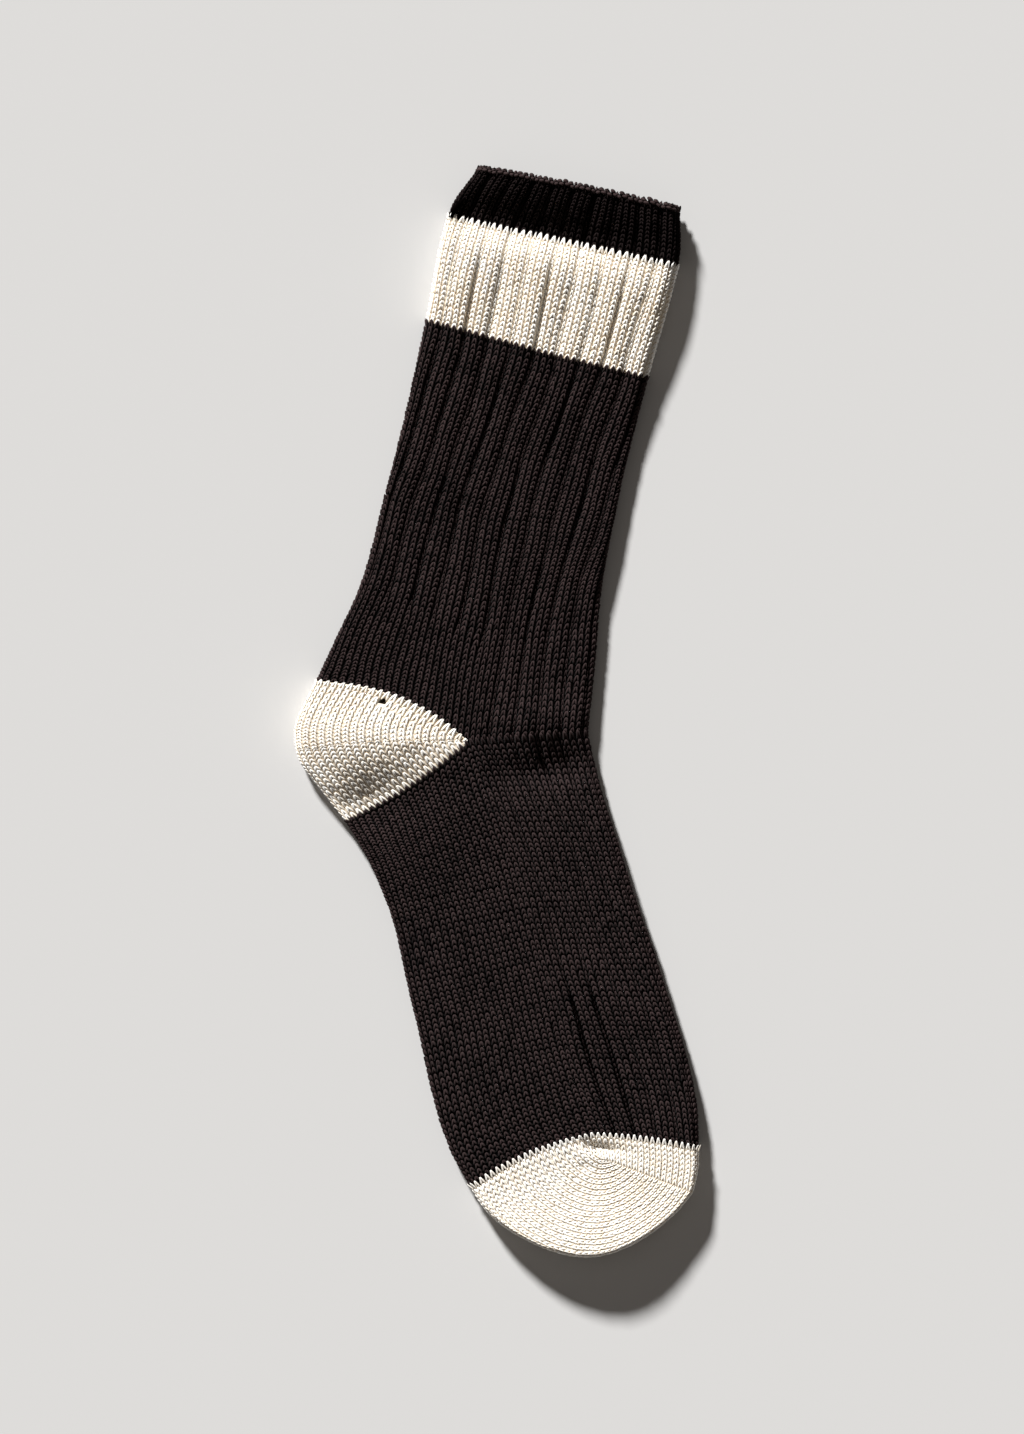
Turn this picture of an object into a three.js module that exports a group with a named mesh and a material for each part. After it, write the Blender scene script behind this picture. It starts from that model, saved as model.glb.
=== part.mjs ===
// Ribbed crew sock, laid flat on its side: heel to the left, instep to the right, toe towards the reader.
// Millimetres. +X runs to the instep side, +Y to the cuff, +Z up from the table the sock lies on.
// The cloth is a knitted tube pressed nearly flat. Every course of stitches is one ring round the tube.
import * as THREE from 'three';
import { ParametricGeometry } from 'three/addons/geometries/ParametricGeometry.js';

const wall = 2.8; // thickness of the knitted cloth
const seamGap = 0.3; // clearance between neighbouring pieces
const turnShare = 23 / 42; // share of the top layer's wales that belong to the heel
const centreX = -0.82; // middle of the sock's outline, which becomes x = 0
const centreY = -0.19; // middle of the sock's outline, which becomes y = 0

const foldSteps = 4; // facets on each rounded quarter of a side fold
const flatSteps = 14; // facets across the flat top or underside
const sideSteps = flatSteps + 2 * foldSteps;
const roundSteps = 2 * sideSteps;

const charcoal = 0x2b2425;
const cream = 0xf0e9da;

const curve = (...points) => new THREE.SplineCurve(points.map(([x, y]) => new THREE.Vector2(x, y)));

// A length of tube. left, turn and right follow the heel side, the end of the heel's wales and the
// instep side. fold holds the heights of the left and right folds, and rise the crown between them
// with the height that the underside is lifted.
const upper = {
  left: curve([-8, 198.4], [-19.3, 180.5], [-27.4, 142.5], [-35.4, 104.9], [-42.3, 77.6], [-50, 48.4],
    [-59.9, 26.5], [-66.8, 11.5]),
  turn: curve([32.6, 190.4], [27, 170.3], [17.4, 130.3], [9, 94], [4, 68], [-2, 42], [-7, 15], [-10.6, -10.8]),
  right: curve([66.1, 183], [65.3, 161.5], [54.4, 121.4], [46, 88], [41.6, 65], [37.6, 45], [35.2, 18],
    [32.5, -7.8]),
  fold: curve([9, 13], [9, 12.5], [8, 9], [7.5, 7.5], [7.4, 7.5], [7.4, 7.5], [7.6, 7.5], [8, 7.5]),
  rise: curve([2, 0], [2, 0], [1.5, 0], [0.8, 0], [0.6, 0], [0.6, 0], [0.6, 0], [0.6, 0]),
  bow: curve([0, 0], [0, 0], [0, 0], [0, 0], [0, 0], [0.6, 0], [2.2, 0], [5.5, 0]),
  last: 7,
};
const foot = {
  left: curve([-55.8, -40], [-50.2, -49.4], [-44.9, -60], [-38.4, -77.5], [-33.6, -99.1], [-29.3, -117],
    [-24.5, -139.2], [-18.4, -158.5], [-10.6, -172.8]),
  turn: curve([-10.6, -10.8], [-4.5, -27.5], [2, -46], [8.5, -67.5], [14.5, -88.5], [20, -107], [25, -124.5],
    [30, -140], [35, -153.2]),
  right: curve([32.5, -7.8], [37, -26.5], [43.1, -45.8], [49.6, -66.6], [56.9, -87.8], [63.1, -107.5],
    [68.3, -124.3], [72.2, -142.5], [73, -158.6]),
  fold: curve([8, 7.5], [8, 7.6], [8, 8], [8, 8], [8, 8], [8.2, 8.2], [8.6, 9], [9.4, 10.4], [10.6, 12]),
  rise: curve([0.6, 0], [0.8, 0], [0.8, 0], [0.8, 0], [0.8, 0], [0.8, 0], [1, 0], [1.4, 0], [1.8, 0]),
  bow: curve([-2, 0], [-1, 0], [0, 0], [0, 0], [0, 0], [0.6, 0], [1.2, 0], [2, 0], [2.8, 0]),
  last: 8,
};
const toeEnd = {
  left: curve([-10.6, -172.8], [-8.6, -175.6], [-5.6, -180.8], [0.6, -186.9], [8.5, -192], [16.5, -195.6],
    [24, -197.6]),
  turn: curve([35, -153.2], [34.4, -161], [33.8, -170], [33.2, -179.5], [33, -188], [33, -194.6], [33, -198]),
  right: curve([73, -158.6], [73, -165.6], [70.8, -174], [65.2, -181.4], [57.6, -188.2], [50.4, -193.2],
    [42.6, -196.6]),
  fold: curve([10.6, 12], [11, 12.4], [11, 12.4], [11, 12], [10.4, 11], [8.4, 8.8], [5, 5]),
  rise: curve([1.8, 0], [1.8, 0], [1.6, 0], [1.4, 0], [1, 0], [0.6, 1], [0, 2.4]),
  bow: curve([2.8, 0], [2.4, 0], [1.6, 0], [0.5, 0], [0, 0], [0, 0], [0, 0]),
  last: 6,
};
// The heel pouch's outline, from the leg's last course round the back of the heel to the foot's first.
const heelBack = curve([-66.8, 11.5], [-73.4, -1.6], [-74.8, -9.6], [-72.6, -18.1], [-65.3, -28], [-55.8, -40]);

// One course of a tube, at a distance along it counted in the points of its curves.
function courseOf(tube, along) {
  const share = Math.min(1, Math.max(0, along / tube.last));
  const fold = tube.fold.getPoint(share);
  const rise = tube.rise.getPoint(share);
  return {
    left: tube.left.getPoint(share),
    turn: tube.turn.getPoint(share),
    right: tube.right.getPoint(share),
    leftHeight: fold.x,
    rightHeight: fold.y,
    crown: rise.x,
    lift: Math.max(0, rise.y),
    bow: tube.bow.getPoint(share).x,
  };
}

// Where a course lies on the table, share 0 at the left fold to 1 at the right fold.
function planOf(course, share) {
  if (share <= turnShare) {
    const part = share / turnShare;
    const point = course.left.clone().lerp(course.turn, part);
    const side = course.turn.clone().sub(course.left).normalize();
    const bow = course.bow * Math.sin(Math.PI * part);
    return point.add(new THREE.Vector2(-side.y * bow, side.x * bow));
  }
  return course.turn.clone().lerp(course.right, (share - turnShare) / (1 - turnShare));
}

// A smooth mound, or a hollow where height is negative, lying along angle degrees.
function mound(x, y, centre, size, angle, height) {
  const turn = THREE.MathUtils.degToRad(angle);
  const across = (x - centre[0]) * Math.cos(turn) + (y - centre[1]) * Math.sin(turn);
  const up = (y - centre[1]) * Math.cos(turn) - (x - centre[0]) * Math.sin(turn);
  return height * Math.exp(-((across / size[0]) ** 2) - (up / size[1]) ** 2);
}

// The largest folds and dips of the top layer.
function relief(x, y) {
  return mound(x, y, [12, 181], [26, 5], -12, -1.6) // dip behind the rim
    + mound(x, y, [58, 178], [10, 12], 0, 2) // lifted corner of the cuff
    + mound(x, y, [-6, 152], [5, 24], -12, 1.2) // soft upright folds in the contrast stripe
    + mound(x, y, [22, 146], [6, 22], -12, -0.9)
    + mound(x, y, [15, -20], [18, 5], 10, -1.8) // crease in front of the ankle
    + mound(x, y, [-49, -31], [18, 6], 20, -1.8) // valley under the heel's gore
    + mound(x, y, [-53, -8], [22, 8], -2, 2.6) // fullness of the upper heel
    + mound(x, y, [33, -162], [5, 3.5], 0, -1.8) // pucker of the toe
    + mound(x, y, [48, -178], [16, 11], -20, 1.4); // fullness of the toe
}

// A point of the cloth: share runs from the left fold to the right fold, side is 1 on the top layer
// and -1 on the underside, and depth goes in from the outer face.
function clothPoint(course, share, side, depth) {
  const width = planOf(course, 0).distanceTo(course.turn) + course.turn.distanceTo(course.right);
  const foldShare = foldSteps / sideSteps;
  const leftRadius = course.leftHeight / 2;
  const rightRadius = course.rightHeight / 2;
  let across = 0;
  let roundness = 1;
  if (share < foldShare) {
    const turn = (share / foldShare) * Math.PI / 2;
    across = leftRadius - (leftRadius - depth) * Math.cos(turn);
    roundness = Math.sin(turn);
  } else if (share > 1 - foldShare) {
    const turn = ((1 - share) / foldShare) * Math.PI / 2;
    across = width - rightRadius + (rightRadius - depth) * Math.cos(turn);
    roundness = Math.sin(turn);
  } else {
    const part = (share - foldShare) / (1 - 2 * foldShare);
    across = leftRadius + part * (width - leftRadius - rightRadius);
  }
  const part = across / width;
  const plan = planOf(course, part);
  const height = course.leftHeight + (course.rightHeight - course.leftHeight) * part
    + course.crown * 4 * part * (1 - part);
  let z = course.lift + height / 2 + side * (height / 2 - depth) * roundness;
  if (side > 0) {
    z += relief(plan.x, plan.y) * roundness * roundness;
  }
  return new THREE.Vector3(plan.x - centreX, plan.y - centreY, z);
}

// A closed skin on a grid of points: around goes round the section and along goes down the piece.
function skin(name, colour, roughness, aroundSteps, alongSteps, pointAt) {
  const shape = (u, v, target) => {
    target.copy(pointAt(Math.round((1 - u) * aroundSteps), Math.round(v * alongSteps)));
  };
  const geometry = new ParametricGeometry(shape, aroundSteps, alongSteps);
  const cloth = new THREE.MeshStandardMaterial({ color: colour, roughness, metalness: 0 });
  const mesh = new THREE.Mesh(geometry, cloth);
  mesh.name = name;
  return mesh;
}

// A point of one ring of a tube, step 0 at the left fold, over the top, and back along the underside.
function ringPoint(course, step, depth) {
  const onTop = step <= sideSteps;
  const share = onTop ? step / sideSteps : (roundSteps - step) / sideSteps;
  return clothPoint(course, share, onTop ? 1 : -1, depth);
}

// An open tube of cloth between two places on a length of tube. Each end gives up half the seam gap.
function tubePiece(name, colour, tube, from, to, rows, startGap, endGap) {
  const alongSteps = 2 * rows + 2;
  const pointAt = (step, k) => {
    const ring = k % alongSteps;
    const outer = ring <= rows;
    const row = outer ? ring : 2 * rows + 1 - ring;
    const course = courseOf(tube, from + (to - from) * row / rows);
    const point = ringPoint(course, step % roundSteps, outer ? 0 : wall);
    if (row === 0) point.y -= startGap;
    if (row === rows) point.y += endGap;
    return point;
  };
  return skin(name, colour, 0.95, roundSteps, alongSteps, pointAt);
}

// The toe: a cup whose outer and inner skins each close on a short line at the tip.
function toePiece() {
  const rows = 9;
  const innerEnd = 5;
  const alongSteps = 2 * rows + 3;
  const pointAt = (step, k) => {
    const tip = k === 0 || k === alongSteps;
    const outer = k <= rows + 1;
    const row = outer ? Math.min(rows, rows + 1 - k) : Math.min(rows, k - rows - 2);
    const reach = outer ? toeEnd.last : innerEnd;
    const course = courseOf(toeEnd, reach * row / rows);
    const point = ringPoint(course, (roundSteps - step) % roundSteps, outer ? 0 : wall);
    if (tip) {
      const twin = ringPoint(course, step % roundSteps, outer ? 0 : wall);
      point.add(twin).multiplyScalar(0.5);
      point.y -= outer ? 0.8 : 1;
    }
    if (row === 0) point.y -= seamGap / 2;
    return point;
  };
  return skin('toe', cream, 0.92, roundSteps, alongSteps, pointAt);
}

// The heel: a pouch between the leg's last course and the foot's first, folded round the back of the
// heel. Its sections fan out from the end of its gore, where the two courses meet.
function heelPiece() {
  const fanRows = 9;
  const tipShare = turnShare * 0.93;
  const layerSteps = foldSteps + 8;
  const loopSteps = 4 * layerSteps;
  const alongSteps = fanRows + 2;
  const shareAt = (step) => {
    if (step <= foldSteps) return step / sideSteps;
    const part = (step - foldSteps) / (layerSteps - foldSteps);
    return foldSteps / sideSteps + part * (tipShare - foldSteps / sideSteps);
  };
  const pointAt = (step, k) => {
    const spine = k === 0 || k === alongSteps;
    const fan = Math.min(fanRows, Math.max(0, k - 1)) / fanRows;
    const start = courseOf(upper, upper.last);
    const end = courseOf(foot, 0);
    const course = { ...start, left: heelBack.getPoint(fan) };
    course.right = start.right;
    course.bow = start.bow + (end.bow - start.bow) * fan;
    course.leftHeight = start.leftHeight + 1.2 * Math.sin(Math.PI * fan);
    const loop = (loopSteps - step) % loopSteps;
    const outer = loop < 2 * layerSteps;
    const place = outer ? loop : loopSteps - loop;
    const onTop = place < layerSteps;
    const layerStep = Math.abs(layerSteps - place);
    const skinDepth = outer ? 0 : wall;
    const capped = layerStep === layerSteps ? wall / 2 : skinDepth;
    return clothPoint(course, shareAt(layerStep), onTop ? 1 : -1, spine ? wall / 2 : capped);
  };
  return skin('heel', cream, 0.92, loopSteps, alongSteps, pointAt);
}

const sock = new THREE.Group();
const halfGap = seamGap / 2;
sock.add(tubePiece('cuff_welt', charcoal, upper, 0, 1, 3, 0, halfGap));
sock.add(tubePiece('contrast_stripe', cream, upper, 1, 2, 5, halfGap, halfGap));
sock.add(tubePiece('leg', charcoal, upper, 2, upper.last, 13, halfGap, seamGap));
sock.add(heelPiece());
sock.add(tubePiece('foot', charcoal, foot, 0, foot.last, 14, seamGap, halfGap));
sock.add(toePiece());

export default sock;
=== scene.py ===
# A chunky ribbed crew sock, knitted from the cuff down in two yarns, lying flat on its side.
# Lengths are millimetres until a finished piece is scaled to metres. +X runs to the instep side,
# +Y to the cuff and +Z up. A wale is a column of stitches and a course is a round of them.
import math

import bmesh
import bpy
import numpy as np
from mathutils import Matrix, Vector


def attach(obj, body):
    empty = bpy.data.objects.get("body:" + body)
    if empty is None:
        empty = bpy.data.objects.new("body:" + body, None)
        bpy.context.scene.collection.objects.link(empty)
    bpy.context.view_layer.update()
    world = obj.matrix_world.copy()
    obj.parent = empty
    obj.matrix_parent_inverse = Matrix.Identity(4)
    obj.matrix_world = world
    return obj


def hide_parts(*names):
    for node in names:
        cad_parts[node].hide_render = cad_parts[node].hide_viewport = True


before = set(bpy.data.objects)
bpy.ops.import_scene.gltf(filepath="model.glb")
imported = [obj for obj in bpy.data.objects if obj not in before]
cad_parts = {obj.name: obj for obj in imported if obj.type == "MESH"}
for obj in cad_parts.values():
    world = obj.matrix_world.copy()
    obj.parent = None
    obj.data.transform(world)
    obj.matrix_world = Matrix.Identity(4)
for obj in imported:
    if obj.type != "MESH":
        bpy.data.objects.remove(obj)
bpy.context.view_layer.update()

# ---- Where the sock is seen from ----
# The sock is seen from straight above through a long lens, a little off its middle, with enough
# bare surface round it for the shadow that it throws towards the toe.
VIEW_CENTRE = Vector((0.00556, -0.0015, 0.0))
VIEW_HEIGHT = 2.4
SEEN_LENGTH = 0.5234
FILM = 36.0

view = bpy.data.cameras.new("overhead_view")
view.sensor_fit = "VERTICAL"
view.sensor_height = FILM
view.lens = FILM * VIEW_HEIGHT / SEEN_LENGTH
view.clip_end = 20.0
overhead = bpy.data.objects.new("overhead_view", view)
overhead.location = VIEW_CENTRE + Vector((0.0, 0.0, VIEW_HEIGHT))
bpy.context.scene.collection.objects.link(overhead)
bpy.context.scene.camera = overhead

# ---- Light ----
# One broad studio lamp stands low beyond the cuff, a little to the heel side, and rakes across the
# knit. The pale room fills the shadows.
LAMP_RISE = math.radians(27.0)
LAMP_TURN = math.radians(25.5)
LAMP_SOFTNESS = math.radians(7.0)

lamp = bpy.data.lights.new("window_lamp", "SUN")
lamp.energy = 6.7
lamp.angle = LAMP_SOFTNESS
lamp.color = (1.0, 0.99, 0.975)
lamp_stand = bpy.data.objects.new("window_lamp", lamp)
lamp_from = Vector((-math.sin(LAMP_TURN), math.cos(LAMP_TURN), math.tan(LAMP_RISE)))
lamp_stand.rotation_euler = lamp_from.to_track_quat("Z", "Y").to_euler()
bpy.context.scene.collection.objects.link(lamp_stand)

room = bpy.data.worlds.new("pale_room")
room.use_nodes = True
room.node_tree.nodes["Background"].inputs["Color"].default_value = (1.0, 0.91, 0.83, 1.0)
room.node_tree.nodes["Background"].inputs["Strength"].default_value = 0.11
bpy.context.scene.world = room
bpy.context.scene.view_settings.view_transform = "Standard"

# ---- The surface it lies on ----
# A plain pale plaster top, wide enough to fill every view.
TABLE_HALF = 3.0

table_mesh = bmesh.new()
bmesh.ops.create_grid(table_mesh, x_segments=1, y_segments=1, size=TABLE_HALF)
table_data = bpy.data.meshes.new("table_top")
table_mesh.to_mesh(table_data)
table_mesh.free()
table_top = bpy.data.objects.new("table_top", table_data)
bpy.context.scene.collection.objects.link(table_top)
plaster = bpy.data.materials.new("pale_plaster")
plaster.use_nodes = True
plaster_shader = plaster.node_tree.nodes["Principled BSDF"]
plaster_shader.inputs["Base Color"].default_value = (0.67, 0.67, 0.67, 1.0)
plaster_shader.inputs["Roughness"].default_value = 0.9
table_data.materials.append(plaster)

# ---- Cuff welt ----
# The top of the sock: a ribbed band of charcoal yarn, three knit wales to one purl, worked from a
# corded cast-on. It is the mouth, a little sprung open, with its instep corner lifted.
MILLIMETRE = 0.001
WALES = 84
LAYER_WALES = 42
HEEL_WALES = 23
INSTEP_WALES = LAYER_WALES - HEEL_WALES
MIDDLE_X = -0.82
MIDDLE_Y = -0.19
TABLE_GAP = 0.02
CLOTH_DEPTH = 0.9
CLOTH_THICK = 1.3

# The tube from cuff to ankle. Each line passes through listed places, one for each course in at.
# tall holds the height of the heel-side fold, of the line where the heel's wales end, and of the
# instep-side fold.
upper = {
    "from_cuff": 0,
    "at": [0, 14, 37, 58, 73, 88, 101, 113],
    "left": [(-8, 198.4), (-19.3, 180.5), (-27.4, 142.5), (-35.4, 104.9), (-42.3, 77.6), (-50, 48.4),
             (-59.9, 26.5), (-66.8, 11.5)],
    "turn": [(32.6, 190.4), (27, 170.3), (17.4, 130.3), (9, 94), (4, 68), (-2, 42), (-7, 15),
             (-10.6, -10.8)],
    "right": [(66.1, 183), (65.3, 161.5), (54.4, 121.4), (46, 88), (41.6, 65), (37.6, 45), (35.2, 18),
              (32.5, -7.8)],
    "tall": [(9, 13.2, 13), (9, 12.9, 12.5), (8, 10, 9), (7.5, 8.3, 7.5), (7.4, 8.1, 7.5),
             (7.4, 8.1, 7.5), (7.6, 8.2, 7.5), (8, 8.3, 7.5)],
    "bow": [(0, 0), (0, 0), (0, 0), (0, 0), (0, 0), (0.6, 0), (2.2, 0), (5.5, 0)],
    "inset": [(1,), (1,), (1,), (1,), (1,), (1,), (1,), (0.9,)],
}


def through(places, reach):
    """The smooth curve through a few places, read at reach, counted in places from the first."""
    places = np.array(places, float)
    last = len(places) - 1
    step = np.clip(np.floor(reach).astype(int), 0, last - 1)
    part = reach[:, None] - step[:, None]
    here = places[step]
    there = places[step + 1]
    start = np.where(step[:, None] > 0, (there - places[np.maximum(step - 1, 0)]) / 2, there - here)
    end = np.where(step[:, None] < last - 1, (places[np.minimum(step + 2, last)] - here) / 2, there - here)
    bend = 2 * here - 2 * there + start + end
    rise = 3 * there - 3 * here - 2 * start - end
    return here + part * (start + part * (rise + part * bend))


# Dips and fullness of the top layer: middle, half-width and half-length, angle and height.
FOLDS = [
    ((12, 193), (40, 5), -12, 1.4),
    ((10, 177), (44, 8), -12, -7.2),
    ((-13, 156), (5, 14), -8, 1.4),
    ((0, 148), (4, 18), -10, -1.0),
    ((22, 142), (5, 22), -10, -0.9),
    ((12, 146), (5, 22), -10, 0.8),
    ((42, 142), (5, 20), -12, 0.8),
    ((16, -3), (18, 8), 0, 2.6),
    ((16, -21.5), (20, 7.5), 8, -4.2),
    ((-53, -10), (26, 11), -2, 3.4),
    ((-49, -35), (26, 10.5), 18, -4.8),
    ((-33, -11), (5, 2.5), 0, 0.8),
    ((37, -158.2), (7, 1.7), -10, -2.4),
    ((34, -162), (4.5, 2.4), -10, 0.9),
    ((31.3, -165), (2.2, 2), 0, -0.6),
    ((33, -194), (34, 14), -4, 2.6),
    ((-9, 112), (1.2, 30), -13, -0.8),
]


def folds_at(places):
    """The height that the folds add at places on the table."""
    added = np.zeros(len(places))
    for middle, (wide, long), angle, tall in FOLDS:
        turn = math.radians(angle)
        away = places - np.array(middle)
        across = away[:, 0] * math.cos(turn) + away[:, 1] * math.sin(turn)
        along = away[:, 1] * math.cos(turn) - away[:, 0] * math.sin(turn)
        added += tall * np.exp(-((across / wide) ** 2) - (along / long) ** 2)
    return added


def spread(edge, turn, bow, edge_tall, turn_tall, inset, share, under, out):
    """Places on the cloth between a side fold and an inner line, both given on the table.

    share is 0 on the fold and 1 on the inner line, measured along the cloth. inset tells how far the
    fold's rounding reaches in, as a share of its half height, under tells which layer, and out is
    the height above the cloth's outer face.
    """
    chord = turn - edge
    length = np.linalg.norm(chord, axis=1)
    radius = edge_tall / 2
    reach_in = radius * inset
    quarter = np.sqrt((radius**2 + reach_in**2) / 2) * math.pi / 2
    path = share * (quarter + length - reach_in)
    angle = np.minimum(path / quarter, 1) * math.pi / 2
    past = np.maximum(path - quarter, 0)
    inward = reach_in - (reach_in + out) * np.cos(angle) + past
    part = inward / length
    normal = np.stack((-chord[:, 1], chord[:, 0]), axis=1) / length[:, None]
    bend = bow * np.sin(math.pi * np.clip(part, 0, 1))
    plan = edge + chord * part[:, None] + normal * bend[:, None]
    ease = np.clip(part, 0, 1) * (2 - np.clip(part, 0, 1))
    tall = edge_tall + (turn_tall - edge_tall) * ease
    roundness = np.sin(angle)
    side = np.where(under, -1.0, 1.0)
    high = tall / 2 + side * (tall / 2 + out) * roundness
    high += np.where(under, 0.0, folds_at(plan) * roundness**2)
    high = np.maximum(high, TABLE_GAP)
    return np.stack((plan[:, 0] - MIDDLE_X, plan[:, 1] - MIDDLE_Y, high), axis=1)


LEAN_WALES = (2.6, 24.5, 46.5, 86.6)
ANKLE_LEAN = (-2.6, -2.0, -4.5, -2.6)
LEG_LEAN = -2.5


def lean(wale, course):
    """How far a wale has moved round the tube at a course. The knitting turns a little at the ankle."""
    round_wale = np.mod(wale - LEAN_WALES[0], WALES) + LEAN_WALES[0]
    down = np.interp(course, (40, 72), (0, LEG_LEAN))
    low = np.interp(round_wale, LEAN_WALES, ANKLE_LEAN)
    part = np.interp(course, (72, 95), (0, 1))
    sway = 0.16 * np.sin(course / 9 + wale / 6) + 0.09 * np.sin(course / 3.7 - wale / 2.3)
    return down * (1 - part) + low * part + sway


def lay_tube(tube, wale, course, out):
    """Places on a tube. wale counts round it from the heel-side fold, over the top layer first."""
    at = tube["at"]
    reach = np.interp(course, at, np.arange(len(at)))
    reach += np.minimum(course - at[0], 0) / (at[1] - at[0])
    reach += np.maximum(course - at[-1], 0) / (at[-1] - at[-2])
    left, turn, right = (through(tube[line], reach) for line in ("left", "turn", "right"))
    tall = through(tube["tall"], reach)
    bow = through(tube["bow"], reach)
    round_wale = np.mod(wale, WALES)
    under = round_wale > LAYER_WALES
    across = np.where(under, WALES - round_wale, round_wale)
    heelward = across <= HEEL_WALES
    edge = np.where(heelward[:, None], left, right)
    share = np.where(heelward, across / HEEL_WALES, (LAYER_WALES - across) / INSTEP_WALES)
    edge_tall = np.where(heelward, tall[:, 0], tall[:, 2])
    bent = np.where(heelward, bow[:, 0], bow[:, 1])
    inset = through(tube["inset"], reach)[:, 0]
    return spread(edge, turn, bent, edge_tall, tall[:, 1], inset, share, under, out)


RIB_REPEAT = 4
PURL_SINK = 1.6
PURL_SQUEEZE = 0.5
DEEP_OPEN = 0.5
DEEP_SINK = 7.5
FURROW_EDGE = 2.2


def rib(wale, course, strength):
    """The squeezed place of a wale in its rib, and how deep it lies. The first wale of four is purl.

    A strength above 1 opens the purl wale into a deep furrow.
    """
    repeat = np.floor(wale / RIB_REPEAT)
    phase = wale - repeat * RIB_REPEAT
    deep = np.maximum(strength - 1, 0)
    purl = 1 - PURL_SQUEEZE * np.minimum(strength, 1) + DEEP_OPEN * deep
    knit = (RIB_REPEAT - purl) / (RIB_REPEAT - 1)
    squeezed = np.where(phase < 1, 0.5 + (phase - 0.5) * purl, 0.5 + purl / 2 + (phase - 1) * knit)
    furrow = (0.5 + 0.5 * np.cos(2 * math.pi * (phase - 0.5) / RIB_REPEAT)) ** FURROW_EDGE
    opened = 0.8 + 0.3 * np.sin(repeat * 2.3 + course / 12) + 0.15 * np.sin(course / 4.5 + repeat * 4.1)
    sunk = PURL_SINK * np.minimum(strength, 1) * furrow * opened
    sunk += DEEP_SINK * deep * np.where(phase < 1, 1, 0)
    return repeat * RIB_REPEAT + squeezed, sunk


def full_rib(wale, course):
    """The rib of the welt and stripe, the same all round."""
    return np.ones(len(wale))


def finished_mesh(name, mesh, places, material):
    """A piece from a flat mesh and its places on the sock, its faces turned to point out."""
    mesh.vertices.foreach_set("co", (places * MILLIMETRE).astype(np.float32).ravel())
    mesh.flip_normals()
    mesh.shade_smooth()
    mesh.materials.clear()
    mesh.materials.append(material)
    mesh.update()
    piece = bpy.data.objects.new(name, mesh)
    bpy.context.scene.collection.objects.link(piece)
    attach(piece, "root")
    return piece


def flat_places(mesh):
    """A mesh's points as columns: wale, course and height."""
    points = np.empty(len(mesh.vertices) * 3, np.float32)
    mesh.vertices.foreach_get("co", points)
    return points.reshape(-1, 3).astype(float)


COURSES_A_FACE = 1.5


def flat_cloth(wales, courses, first_course):
    """A flat swatch of plain cloth that starts at wale 0. A face is half a wale by COURSES_A_FACE."""
    swatch = bmesh.new()
    rows = max(2, round(courses / COURSES_A_FACE))
    bmesh.ops.create_grid(swatch, x_segments=2 * wales, y_segments=rows, size=0.5, calc_uvs=True)
    middle = Matrix.Translation((wales / 2, first_course + courses / 2, 0))
    bmesh.ops.transform(swatch, verts=swatch.verts, matrix=middle @ Matrix.Diagonal((wales, courses, 1, 1)))
    mesh = bpy.data.meshes.new("swatch")
    swatch.to_mesh(mesh)
    swatch.free()
    return mesh


SEAM_GAP = 0.01


def cloth_tube(name, tube, first_course, last_course, rib_strength, material):
    """The backing cloth of a tube, a thin wall that the stitches stand on."""
    mesh = flat_cloth(WALES, last_course - first_course, first_course)
    flat = flat_places(mesh)
    moved = lean(flat[:, 0], flat[:, 1] + tube["from_cuff"])
    strength = rib_strength(flat[:, 0] + moved, flat[:, 1])
    wale, sunk = rib(flat[:, 0], flat[:, 1], strength)
    places = lay_tube(tube, wale + moved, flat[:, 1], -CLOTH_DEPTH - sunk)
    piece = finished_mesh(name, mesh, places, material)
    joined = bmesh.new()
    joined.from_mesh(mesh)
    bmesh.ops.remove_doubles(joined, verts=joined.verts, dist=SEAM_GAP * MILLIMETRE)
    joined.to_mesh(mesh)
    joined.free()
    wall = piece.modifiers.new("wall", "SOLIDIFY")
    wall.thickness = CLOTH_THICK * MILLIMETRE
    wall.offset = -1.0
    return piece


STRAND_HALF = 0.52
LEG_HALF_LENGTH = 0.7
LEG_HALF_WIDTH = 0.21
LEG_SPREAD = 0.22
LEG_SLANT = 0.23
LEG_TILT = 0.46
LEG_ROLL = 0.3
CROWN_DEPTH = 0.58


def repeated(pattern_mesh, wales, courses):
    """One knitted shape repeated over a flat swatch, one to a wale and a course."""
    pattern = bpy.data.objects.new("pattern", pattern_mesh)
    bpy.context.scene.collection.objects.link(pattern)
    for step, count in (((1, 0, 0), wales), ((0, 1, 0), courses)):
        row = pattern.modifiers.new("row", "ARRAY")
        row.use_relative_offset = False
        row.use_constant_offset = True
        row.constant_offset_displace = step
        row.count = count
    bpy.context.view_layer.update()
    drawn = pattern.evaluated_get(bpy.context.evaluated_depsgraph_get())
    swatch = bpy.data.meshes.new_from_object(drawn)
    bpy.data.objects.remove(pattern)
    bpy.data.meshes.remove(pattern_mesh)
    return swatch


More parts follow.
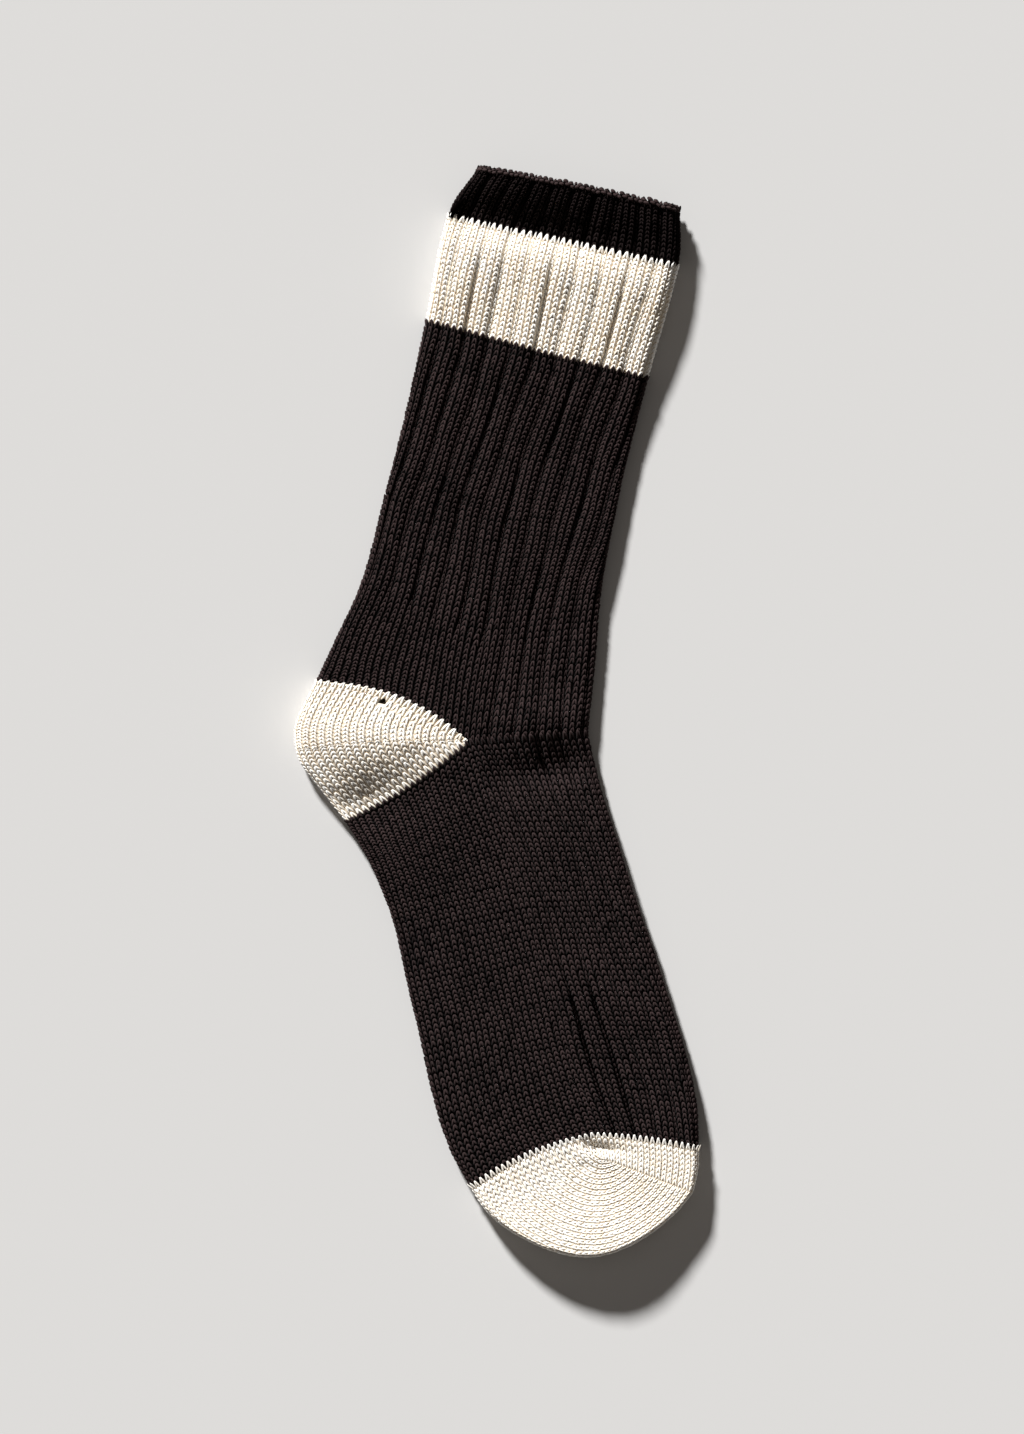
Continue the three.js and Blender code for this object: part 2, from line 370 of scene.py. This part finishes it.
def flat_stitches(wales, courses, rings):
    """A flat swatch of stitches. Each is two slanting strands that meet on top towards the cuff."""
    stitch = bmesh.new()
    for side in (-1, 1):
        strand = bmesh.ops.create_uvsphere(stitch, u_segments=4, v_segments=rings, radius=1, calc_uvs=True)
        laid = Matrix.Rotation(math.pi / 2, 4, "X")
        shaped = Matrix.Diagonal((LEG_HALF_WIDTH, LEG_HALF_LENGTH, STRAND_HALF, 1))
        slanted = Matrix.Identity(4)
        slanted[0][1] = side * LEG_SLANT
        slanted[2][1] = -LEG_TILT
        slanted[2][0] = -side * LEG_ROLL
        placed = Matrix.Translation((0.5 + side * LEG_SPREAD, 0.5, -CROWN_DEPTH))
        bmesh.ops.transform(stitch, verts=strand["verts"], matrix=placed @ slanted @ shaped @ laid)
    points = len(stitch.verts)
    mesh = bpy.data.meshes.new("stitch")
    stitch.to_mesh(mesh)
    stitch.free()
    return repeated(mesh, wales, courses), points


# Painted shade and light: a stitch's colour darkens below this height and lightens above it, by the amount
# on the next line.
TUCKED = -0.35
TUCK_PAINTED_SHADE = 2.4


def tint_and_shade_stitches(mesh, points, seed):
    """Gives each stitch its own depth of dye, and paints shade into the colour: darker where the yarn is
    tucked in, lighter on the crowns.
    """
    count = len(mesh.vertices) // points
    shade = np.repeat(np.random.default_rng(seed).normal(0.5, 0.2, count).clip(0, 1), points)
    # Painted shade: the deeper a point lies in the cloth, the darker it is coloured.
    shade += TUCK_PAINTED_SHADE * (flat_places(mesh)[:, 2] - TUCKED)
    tone = mesh.attributes.new("yarn_dye_and_shade", "FLOAT", "POINT")
    tone.data.foreach_set("value", shade.astype(np.float32))


def uneven(count, points, seed, amount):
    """The small unevenness of hand and machine: one number for each stitch, repeated for its points."""
    return np.repeat(np.random.default_rng(seed).normal(0, amount, count), points)


TOOTH_REACH = 0.45
TOOTH_RISE = 0.4
LAP_FADE = 1.8
LAP_START = -0.4


def lapped_share(course):
    """How much a point is part of a piece's first loops, which lap over the piece above them."""
    return np.exp(-LAP_FADE * np.maximum(course, LAP_START))


UNEVEN_WALE = 0.035
UNEVEN_COURSE = 0.05
UNEVEN_HEIGHT = 0.06


def stitch_tube(name, tube, wales, courses, rib_strength, rings, seed, material):
    """The stitches of part of a tube, between two wales and two courses."""
    swatch, points = flat_stitches(wales[1] - wales[0], courses[1] - courses[0], rings)
    flat = flat_places(swatch)
    count = len(flat) // points
    flat[:, 0] += wales[0]
    flat[:, 1] += courses[0]
    centre = np.repeat(flat.reshape(count, points, 3).mean(axis=1), points, axis=0)
    moved = lean(flat[:, 0], flat[:, 1] + tube["from_cuff"])
    strength = rib_strength(centre[:, 0] + moved, centre[:, 1])
    wale, sunk = rib(flat[:, 0], flat[:, 1], strength)
    wale = wale + moved + uneven(count, points, seed, UNEVEN_WALE)
    lapped = lapped_share(flat[:, 1] - courses[0])
    course = flat[:, 1] - TOOTH_REACH * lapped + uneven(count, points, seed + 1, UNEVEN_COURSE)
    out = flat[:, 2] - sunk + TOOTH_RISE * lapped + uneven(count, points, seed + 2, UNEVEN_HEIGHT)
    tint_and_shade_stitches(swatch, points, seed + 3)
    return finished_mesh(name, swatch, lay_tube(tube, wale, course, out), material)


FIBRE_SCALE = 2600.0
PATCH_SCALE = 60.0
PLY_SCALE = 1.4
PLY_HEIGHT = 0.00025


def yarn(name, deep, light, fuzz, sheen, gloss):
    """Brushed wool-mix yarn: twisted plies, fine fibres and a slightly uneven dye, with painted shade on
    tucked yarn read from the stitches' tone.
    """
    material = bpy.data.materials.new(name)
    material.use_nodes = True
    nodes = material.node_tree.nodes
    link = material.node_tree.links.new
    shader = nodes["Principled BSDF"]
    shader.inputs["Roughness"].default_value = 0.82
    shader.inputs["Sheen Weight"].default_value = sheen
    shader.inputs["Sheen Roughness"].default_value = 0.5
    shader.inputs["Specular IOR Level"].default_value = gloss
    place = nodes.new("ShaderNodeTexCoord")
    fibres = nodes.new("ShaderNodeTexNoise")
    fibres.inputs["Scale"].default_value = FIBRE_SCALE
    fibres.inputs["Detail"].default_value = 2.0
    link(place.outputs["Object"], fibres.inputs["Vector"])
    patches = nodes.new("ShaderNodeTexNoise")
    patches.inputs["Scale"].default_value = PATCH_SCALE
    patches.inputs["Detail"].default_value = 2.0
    link(place.outputs["Object"], patches.inputs["Vector"])
    # The stitches' tone holds their dye and painted shade: dark where the yarn is tucked in, light on the
    # crowns.
    tone = nodes.new("ShaderNodeAttribute")
    tone.attribute_name = "yarn_dye_and_shade"
    dye_shade_sum = nodes.new("ShaderNodeMath")
    dye_shade_sum.operation = "ADD"
    link(tone.outputs["Fac"], dye_shade_sum.inputs[0])
    link(patches.outputs["Fac"], dye_shade_sum.inputs[1])
    mixed = nodes.new("ShaderNodeMath")
    mixed.operation = "ADD"
    link(dye_shade_sum.outputs["Value"], mixed.inputs[0])
    link(fibres.outputs["Fac"], mixed.inputs[1])
    ramp = nodes.new("ShaderNodeMapRange")
    ramp.inputs["From Min"].default_value = 0.9
    ramp.inputs["From Max"].default_value = 2.1
    link(mixed.outputs["Value"], ramp.inputs["Value"])
    colour = nodes.new("ShaderNodeMix")
    colour.data_type = "RGBA"
    colour.inputs["A"].default_value = (*deep, 1.0)
    colour.inputs["B"].default_value = (*light, 1.0)
    link(ramp.outputs["Result"], colour.inputs["Factor"])
    link(colour.outputs["Result"], shader.inputs["Base Color"])
    plies = nodes.new("ShaderNodeTexWave")
    plies.wave_type = "BANDS"
    plies.bands_direction = "DIAGONAL"
    plies.inputs["Scale"].default_value = PLY_SCALE
    plies.inputs["Distortion"].default_value = 1.0
    link(place.outputs["UV"], plies.inputs["Vector"])
    relief = nodes.new("ShaderNodeMath")
    relief.operation = "ADD"
    link(plies.outputs["Fac"], relief.inputs[0])
    link(fibres.outputs["Fac"], relief.inputs[1])
    bump = nodes.new("ShaderNodeBump")
    bump.inputs["Strength"].default_value = fuzz
    bump.inputs["Distance"].default_value = PLY_HEIGHT
    link(relief.outputs["Value"], bump.inputs["Height"])
    link(bump.outputs["Normal"], shader.inputs["Normal"])
    return material


# Between its deep and light colours each yarn shows its uneven dye and the painted shade of tucked yarn.
charcoal_yarn = yarn("charcoal_yarn", (0.0008, 0.0005, 0.0005), (0.042, 0.028, 0.028), 0.5, 0.02, 0.04)
# The welt is the same charcoal yarn, coloured darker as painted shade for the welt behind the lifted
# cast-on.
welt_painted_shade_yarn = yarn("charcoal_welt_painted_shade_yarn", (0.0005, 0.0003, 0.0003), (0.017, 0.012, 0.012), 0.5, 0.0, 0.02)
# The backing cloth is coloured nearly black, much darker than the yarn, as painted shade in the gaps
# between the stitches.
shaded_charcoal_backing = yarn("shaded_charcoal_backing", (0.001, 0.0007, 0.0007), (0.004, 0.003, 0.003), 0.5, 0.0, 0.0)

WELT_COURSES = (0, 14)
welt_cloth = cloth_tube("cuff_welt_cloth", upper, *WELT_COURSES, full_rib, shaded_charcoal_backing)
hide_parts("cuff_welt")
welt_stitches = stitch_tube("cuff_welt_stitches", upper, (0, WALES), WELT_COURSES, full_rib, 4, 11,
                            welt_painted_shade_yarn)

# The cast-on is a thick cord of loops, two on the outer face and one behind for each wale.
CORD_LOOPS = ((0.5, -0.5, -0.6), (1.0, 0.7, -0.3), (0.5, -0.7, -1.9))
CORD_HALF = (0.5, 0.85, 1.1)
CORD_SLANT = 0.5
CORD_TIGHT = 0.58
CORD_RIB = 0.8
FOLD_WALES = 1.5
FOLD_FLAT = 0.5

cast_on = bmesh.new()
for place in CORD_LOOPS:
    loop = bmesh.ops.create_uvsphere(cast_on, u_segments=8, v_segments=6, radius=1, calc_uvs=True)
    across = Matrix.Rotation(math.pi / 2, 4, "Y")
    shaped = Matrix.Diagonal((*CORD_HALF, 1))
    slanted = Matrix.Identity(4)
    slanted[1][0] = CORD_SLANT
    bmesh.ops.transform(cast_on, verts=loop["verts"],
                        matrix=Matrix.Translation(place) @ slanted @ shaped @ across)
loop_points = len(cast_on.verts)
cast_on_data = bpy.data.meshes.new("cast_on")
cast_on.to_mesh(cast_on_data)
cast_on.free()
cord = repeated(cast_on_data, WALES, 1)
cord_flat = flat_places(cord)
cord_wale, cord_sunk = rib(cord_flat[:, 0], cord_flat[:, 1], np.full(len(cord_flat), CORD_RIB))
cord_wale = cord_wale + lean(cord_flat[:, 0], cord_flat[:, 1])
cord_course = CORD_TIGHT * (cord_flat[:, 1] + 0.35 * cord_sunk + uneven(WALES, loop_points, 16, 0.18))
cord_out = cord_flat[:, 2] - 0.5 * cord_sunk + uneven(WALES, loop_points, 17, 0.1)
past_fold = np.mod(cord_wale + LAYER_WALES / 2, LAYER_WALES) - LAYER_WALES / 2
cord_out[np.abs(past_fold) < FOLD_WALES] -= FOLD_FLAT
tint_and_shade_stitches(cord, loop_points, 18)
cast_on_edge = finished_mesh("cast_on_edge", cord, lay_tube(upper, cord_wale, cord_course, cord_out),
                             charcoal_yarn)

# ---- Contrast stripe ----
# A band of cream yarn under the welt, in the same rib, without a break in the knitting. It lies in
# soft upright folds.
# The cream's warm brown deep colour is painted shade for the tucked yarn.
cream_yarn = yarn("cream_yarn", (0.87, 0.77, 0.63), (1.0, 0.99, 0.96), 0.5, 0.1, 0.3)
# The cream backing is coloured a little darker and browner than the yarn, as painted shade between the
# stitches.
shaded_cream_backing = yarn("shaded_cream_backing", (0.80, 0.71, 0.58), (0.9, 0.83, 0.72), 0.5, 0.0, 0.0)

STRIPE_COURSES = (14, 37)
stripe_cloth = cloth_tube("contrast_stripe_cloth", upper, *STRIPE_COURSES, full_rib, shaded_cream_backing)
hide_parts("contrast_stripe")
stripe_stitches = stitch_tube("contrast_stripe_stitches", upper, (0, WALES), STRIPE_COURSES, full_rib, 4,
                              21, cream_yarn)

# ---- Leg ----
# The charcoal tube down to the ankle, knitted straight on from the stripe. Its rib ends in a row
# above the heel, and softens on the instep, where the wales carry on into the foot.
LEG_COURSES = (37, 113)
LEG_RIB_END = 90
SOFT_RIB = 0.8


def leg_rib(wale, course):
    """The leg's rib: full down to twenty courses above the heel, and soft on the instep below that."""
    across = np.minimum(np.mod(wale, WALES), WALES - np.mod(wale, WALES))
    end = LEG_RIB_END + 0.35 * across
    fade = np.clip((end - course) / 3, 0, 1)
    instep = np.clip((across - HEEL_WALES) / 3, 0, 1) * SOFT_RIB
    return np.maximum(fade, instep)


leg_cloth = cloth_tube("leg_cloth", upper, *LEG_COURSES, leg_rib, shaded_charcoal_backing)
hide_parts("leg")
for layer, wales, rings, seed in (("top", (0, 47), 4, 31), ("under", (47, WALES), 3, 41)):
    stitches = stitch_tube(f"leg_stitches_{layer}", upper, wales, LEG_COURSES, leg_rib, rings, seed,
                           charcoal_yarn)

# ---- Heel ----
# A pouch of cream yarn, knitted back and forth over the heel's wales of the leg. Its rows shorten to
# the gore and lengthen again, so it folds round the back of the heel, and the foot carries on from it.
HEEL_ROWS = 36
NEAR_TIP = 0.02
HEEL_RELIEF = 0.5
HEEL_DEPTH = 0.5
HEEL_TOOTH_REACH = 0.12
HEEL_TIP = (-10.6, -10.8)
HEEL_BACK = [(-66.8, 11.5), (-73.4, -1.6), (-74.8, -9.6), (-72.6, -18.1), (-65.3, -28), (-55.8, -40)]


def lay_heel(wale, row, out):
    """Places on the heel. wale counts from the back of the heel, negative underneath."""
    under = wale < 0
    share = np.clip(np.abs(wale) / HEEL_WALES, 0, 0.985)
    reach_out = np.maximum(1 - share, NEAR_TIP)
    half = HEEL_ROWS / 2
    low = row > half
    left_over = np.where(low, HEEL_ROWS - row, row)
    fan = np.clip(left_over / half / reach_out, -0.2, 1) / 2
    fan = np.where(low, 1 - fan, fan)
    edge = through(HEEL_BACK, fan * (len(HEEL_BACK) - 1))
    turn = np.tile(np.array(HEEL_TIP), (len(wale), 1))
    bow = 5.5 - 7.5 * fan
    edge_tall = 8 + 1.2 * np.sin(math.pi * np.clip(fan, 0, 1))
    turn_tall = np.full(len(wale), 8.3)
    inset = np.full(len(wale), 0.9)
    return spread(edge, turn, bow, edge_tall, turn_tall, inset, share, under, out)


def keep_stitches(mesh, points, kept):
    """Cuts away the stitches of a swatch that aren't knitted."""
    cut = bmesh.new()
    cut.from_mesh(mesh)
    cut.verts.ensure_lookup_table()
    spare = [cut.verts[i] for i in np.flatnonzero(~np.repeat(kept, points))]
    bmesh.ops.delete(cut, geom=spare, context="VERTS")
    cut.to_mesh(mesh)
    cut.free()


# A stitch has run just below the leg, and leaves a small hole.
HOLE = np.array((-41.3, 4.3))
HOLE_ROUND = 1.3

heel_flat = flat_cloth(2 * HEEL_WALES, HEEL_ROWS, 0)
heel_points = flat_places(heel_flat)
heel_wale = heel_points[:, 0] - HEEL_WALES
heel_reach = np.maximum(1 - np.abs(heel_wale) / HEEL_WALES, NEAR_TIP)
heel_low = heel_points[:, 1] > HEEL_ROWS / 2
heel_row = np.where(heel_low, HEEL_ROWS - (HEEL_ROWS - heel_points[:, 1]) * heel_reach,
                    heel_points[:, 1] * heel_reach)
heel_places = lay_heel(heel_wale, heel_row, np.full(len(heel_row), -HEEL_DEPTH))
heel_cloth = finished_mesh("heel_cloth", heel_flat, heel_places, shaded_cream_backing)
holed = bmesh.new()
holed.from_mesh(heel_flat)
hole_middle = Vector((*HOLE, 0)) * MILLIMETRE
open_faces = [face for face in holed.faces if face.normal.z > 0
              and (face.calc_center_median().xy - hole_middle.xy).length < HOLE_ROUND * MILLIMETRE]
bmesh.ops.delete(holed, geom=open_faces, context="FACES")
holed.to_mesh(heel_flat)
holed.free()
heel_wall = heel_cloth.modifiers.new("wall", "SOLIDIFY")
heel_wall.thickness = CLOTH_THICK * MILLIMETRE
heel_wall.offset = -1.0
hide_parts("heel")

heel_swatch, stitch_points = flat_stitches(2 * HEEL_WALES, HEEL_ROWS, 4)
heel_points = flat_places(heel_swatch)
heel_count = len(heel_points) // stitch_points
heel_wale = heel_points[:, 0] - HEEL_WALES
heel_stitch = heel_points.reshape(heel_count, stitch_points, 3).mean(axis=1)
rows_here = HEEL_ROWS / 2 * (1 - np.abs(heel_stitch[:, 0] - HEEL_WALES) / HEEL_WALES)
row_from_edge = np.minimum(heel_stitch[:, 1], HEEL_ROWS - heel_stitch[:, 1])
knitted = row_from_edge < rows_here + 0.8
tint_and_shade_stitches(heel_swatch, stitch_points, 53)
heel_out = HEEL_RELIEF * heel_points[:, 2] + uneven(heel_count, stitch_points, 52, UNEVEN_HEIGHT)
heel_lapped = lapped_share(heel_points[:, 1])
heel_row = heel_points[:, 1] - HEEL_TOOTH_REACH * heel_lapped
heel_row += uneven(heel_count, stitch_points, 54, UNEVEN_COURSE)
heel_out += TOOTH_RISE * heel_lapped
heel_places = lay_heel(heel_wale, heel_row, heel_out)
heel_stitches = finished_mesh("heel_stitches", heel_swatch, heel_places, cream_yarn)
stitch_places = heel_places.reshape(heel_count, stitch_points, 3).mean(axis=1)
run = (np.linalg.norm(stitch_places[:, :2] - HOLE, axis=1) < HOLE_ROUND) & (heel_stitch[:, 0] > HEEL_WALES)
keep_stitches(heel_swatch, stitch_points, knitted & ~run)

# ---- Foot ----
# The charcoal tube from the ankle to the toe, knitted on from the leg's instep and the heel: a
# plain sole, and an instep whose rib is soft. Two of its furrows near the toe are deep.
foot = {
    "from_cuff": 113,
    "at": [0, 9, 19, 31, 42, 52, 62, 71, 79],
    "left": [(-55.8, -40), (-50.2, -49.4), (-44.9, -60), (-38.4, -77.5), (-33.6, -99.1), (-29.3, -117),
             (-24.5, -139.2), (-18.4, -158.5), (-10.6, -172.8)],
    "turn": [(-10.6, -10.8), (-4.5, -27.5), (2, -46), (8.5, -67.5), (14.5, -88.5), (20, -107),
             (25, -124.5), (30, -140), (35, -153.2)],
    "right": [(32.5, -7.8), (37, -26.5), (43.1, -45.8), (49.6, -66.6), (56.9, -87.8), (63.1, -107.5),
              (68.3, -124.3), (72.2, -142.5), (73, -158.6)],
    "tall": [(8, 8.3, 7.5), (8, 8.6, 7.6), (8, 8.8, 8), (8, 8.8, 8), (8, 8.8, 8), (8.2, 9, 8.2),
             (8.4, 9.4, 8.6), (8.6, 10, 9.2), (8.8, 10.6, 9.8)],
    "bow": [(-2, 0), (-1, 0), (0, 0), (0, 0), (0, 0), (0.6, 0), (1.2, 0), (2, -0.4), (2.8, -0.9)],
    "inset": [(0.9,), (1,), (1,), (1,), (1,), (1,), (1,), (0.8,), (0.6,)],
}
FOOT_COURSES = (0, 79)
FOOT_RIB = 0.75
DEEP_RIB = 0.85
DEEP_WALE = 28
DEEP_FROM = 44
DEEP_WALES = 4

# The foot's cloth runs on this many courses under the toe's first loops.
UNDER_TOE = 0.9


def foot_rib(wale, course):
    """The foot's rib: only on the instep, softer than the leg's, and deep near the toe."""
    across = np.minimum(np.mod(wale, WALES), WALES - np.mod(wale, WALES))
    deep = np.clip((course - DEEP_FROM) / 8, 0, 1) * np.exp(-(((across - DEEP_WALE) / DEEP_WALES) ** 2))
    return np.clip((across - HEEL_WALES) / 2, 0, 1) * (FOOT_RIB + DEEP_RIB * deep)


foot_cloth = cloth_tube("foot_cloth", foot, FOOT_COURSES[0], FOOT_COURSES[1] + UNDER_TOE, foot_rib,
                        shaded_charcoal_backing)
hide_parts("foot")
for layer, wales, rings, seed in (("top", (0, 48), 4, 61), ("under", (48, WALES), 3, 71)):
    stitches = stitch_tube(f"foot_stitches_{layer}", foot, wales, FOOT_COURSES, foot_rib, rings, seed,
                           charcoal_yarn)

# ---- Toe ----
# The closed end, in cream yarn. The sole's wales run on round the end of the toe, as rings about a
# small pucker, and meet the instep's few straight courses along a gore.
TOE_PUCKER = (36.5, -161.6)
toe_band = {
    "from_cuff": 192,
    "at": [0, 5, 10],
    "left": [(-10.6, -172.8), (-9.9, -174.3), (-9, -175.8)],
    "turn": [(35, -153.2), (35.9, -157.4), TOE_PUCKER],
    "right": [(73, -158.6), (72.6, -166.6), (70.8, -174.8)],
    "tall": [(8.8, 10.6, 9.8), (9, 10.7, 10), (9.2, 10.8, 10.2)],
    "bow": [(2.8, -0.9), (1.6, -0.4), (0, 0)],
    "inset": [(0.6,), (0.45,), (0.3,)],
}
TOE_BAND_COURSES = 10
TOE_BAND_WALES = (HEEL_WALES, WALES - HEEL_WALES)
TOE_EDGE = [(-10.6, -172.8), (-5.6, -180.8), (1, -186.9), (9, -191.8), (18, -195.8), (28, -198.2),
            (38, -197.8), (48, -194.2), (57.6, -188.2), (65.4, -181.4), (70.8, -174.8)]
TOE_EDGE_TALL = [(8.8,), (9.6,), (10.4,), (11.2,), (11.6,), (11.8,), (11.8,), (11.6,), (11.2,), (10.6,),
                 (10.2,)]
TOE_RINGS = HEEL_WALES
TOE_ROWS = 54
PUCKER_ROWS = 4.6
FOLD_ROWS = 9.6
TOE_RELIEF = 0.5
TOE_DEPTH = 0.45
TOE_TOOTH_REACH = 0.4
TOE_TOOTH_RISE = 0.5
TOE_TOOTH_NARROW = 0.15
DRAWN_IN = 0.65
DRAWN_RINGS = 3
PUCKER_TALL = 10.6
COLOUR_BOW = 2.8
COLOUR_FADE = 8
TOE_INSET = 0.3
NARROW_LIMIT = 1.6


def lay_toe(ring, round_share, under, out):
    """Places on the end of the toe. ring counts wales in from the edge, and round_share goes round it."""
    reach = round_share * (len(TOE_EDGE) - 1)
    edge = through(TOE_EDGE, reach)
    edge_tall = through(TOE_EDGE_TALL, reach)[:, 0]
    turn = through(toe_band["turn"], round_share * 2)
    share = np.clip(ring / TOE_RINGS, 0, 1)
    near_colour = np.exp(-((COLOUR_FADE * round_share) ** 2))
    bow = COLOUR_BOW * near_colour
    turn_tall = PUCKER_TALL + 0.2 * round_share
    inset = TOE_INSET + TOE_INSET * near_colour
    return spread(edge, turn, bow, edge_tall, turn_tall, inset, share, under, out)


def narrowed(wale, lapped):
    """The toe's first loops come to a point. The rest of each stitch stays as wide as it was."""
    middle = np.floor(wale) + 0.5
    return middle + (wale - middle) * (1 - TOE_TOOTH_NARROW * np.minimum(lapped, NARROW_LIMIT))


def toe_band_rows(wale):
    """How many straight courses the instep has at a wale before it meets the gore."""
    return np.interp(np.abs(wale - LAYER_WALES), (0, INSTEP_WALES), (FOLD_ROWS, PUCKER_ROWS))


TOE_SEAM_GAP = 0.05

toe_backing = yarn("toe_backing", (0.9, 0.84, 0.74), (0.97, 0.94, 0.88), 0.5, 0.0, 0.0)
toe_end = bmesh.new()
band_mesh = flat_cloth(TOE_BAND_WALES[1] - TOE_BAND_WALES[0], TOE_BAND_COURSES - UNDER_TOE, UNDER_TOE)
band_flat = flat_places(band_mesh)
band_places = lay_tube(toe_band, band_flat[:, 0] + TOE_BAND_WALES[0], band_flat[:, 1],
                       np.full(len(band_flat), -TOE_DEPTH))
band_mesh.vertices.foreach_set("co", (band_places * MILLIMETRE).astype(np.float32).ravel())
band_mesh.flip_normals()
toe_end.from_mesh(band_mesh)
for under in (False, True):
    end_mesh = flat_cloth(TOE_RINGS, TOE_ROWS - UNDER_TOE, UNDER_TOE)
    end_flat = flat_places(end_mesh)
    beneath = np.full(len(end_flat), under)
    end_depth = TOE_DEPTH + DRAWN_IN * np.maximum(end_flat[:, 0] - TOE_RINGS + DRAWN_RINGS, 0)
    end_places = lay_toe(end_flat[:, 0], end_flat[:, 1] / TOE_ROWS, beneath, -end_depth)
    end_mesh.vertices.foreach_set("co", (end_places * MILLIMETRE).astype(np.float32).ravel())
    if not under:
        end_mesh.flip_normals()
    toe_end.from_mesh(end_mesh)
bmesh.ops.remove_doubles(toe_end, verts=toe_end.verts, dist=TOE_SEAM_GAP * MILLIMETRE)
toe_data = bpy.data.meshes.new("toe_cloth")
toe_end.to_mesh(toe_data)
toe_end.free()
toe_data.shade_smooth()
toe_data.materials.append(toe_backing)
toe_cloth = bpy.data.objects.new("toe_cloth", toe_data)
bpy.context.scene.collection.objects.link(toe_cloth)
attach(toe_cloth, "root")
toe_wall = toe_cloth.modifiers.new("wall", "SOLIDIFY")
toe_wall.thickness = CLOTH_THICK * MILLIMETRE
toe_wall.offset = -1.0
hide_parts("toe")

band_swatch, stitch_points = flat_stitches(TOE_BAND_WALES[1] - TOE_BAND_WALES[0], TOE_BAND_COURSES, 4)
band_points = flat_places(band_swatch)
band_points[:, 0] += TOE_BAND_WALES[0]
band_count = len(band_points) // stitch_points
band_stitch = band_points.reshape(band_count, stitch_points, 3).mean(axis=1)
band_rows = np.round(toe_band_rows(band_stitch[:, 0]))
band_course = band_points[:, 1] * TOE_BAND_COURSES / np.repeat(band_rows, stitch_points)
tint_and_shade_stitches(band_swatch, stitch_points, 81)
band_lapped = lapped_share(band_points[:, 1])
band_course = band_course - TOE_TOOTH_REACH * band_lapped
band_out = TOE_RELIEF * band_points[:, 2] + TOE_TOOTH_RISE * band_lapped
band_out += uneven(band_count, stitch_points, 82, 0.05)
toe_band_stitches = finished_mesh("toe_band_stitches", band_swatch,
                                  lay_tube(toe_band, narrowed(band_points[:, 0], band_lapped),
                                           band_course, band_out), cream_yarn)
keep_stitches(band_swatch, stitch_points, band_stitch[:, 1] < band_rows)

for layer, under, rings, seed in (("top", False, 4, 91), ("under", True, 3, 95)):
    swatch, stitch_points = flat_stitches(TOE_RINGS, TOE_ROWS, rings)
    flat = flat_places(swatch)
    count = len(flat) // stitch_points
    stitch = flat.reshape(count, stitch_points, 3).mean(axis=1)
    rows_in_ring = np.round(np.interp(stitch[:, 0], (0, TOE_RINGS), (TOE_ROWS, PUCKER_ROWS)))
    knitted = stitch[:, 1] < rows_in_ring
    lapped = lapped_share(flat[:, 1])
    row = flat[:, 1] - TOE_TOOTH_REACH * lapped + uneven(count, stitch_points, seed + 2, UNEVEN_COURSE)
    round_share = row / np.repeat(rows_in_ring, stitch_points)
    tint_and_shade_stitches(swatch, stitch_points, seed)
    ring = narrowed(flat[:, 0], lapped) + uneven(count, stitch_points, seed + 3, 0.04)
    out = TOE_RELIEF * flat[:, 2] + TOE_TOOTH_RISE * lapped + uneven(count, stitch_points, seed + 1, 0.05)
    beneath = np.full(len(flat), under)
    places = lay_toe(ring, round_share, beneath, out)
    stitches = finished_mesh(f"toe_stitches_{layer}", swatch, places, cream_yarn)
    keep_stitches(swatch, stitch_points, knitted)
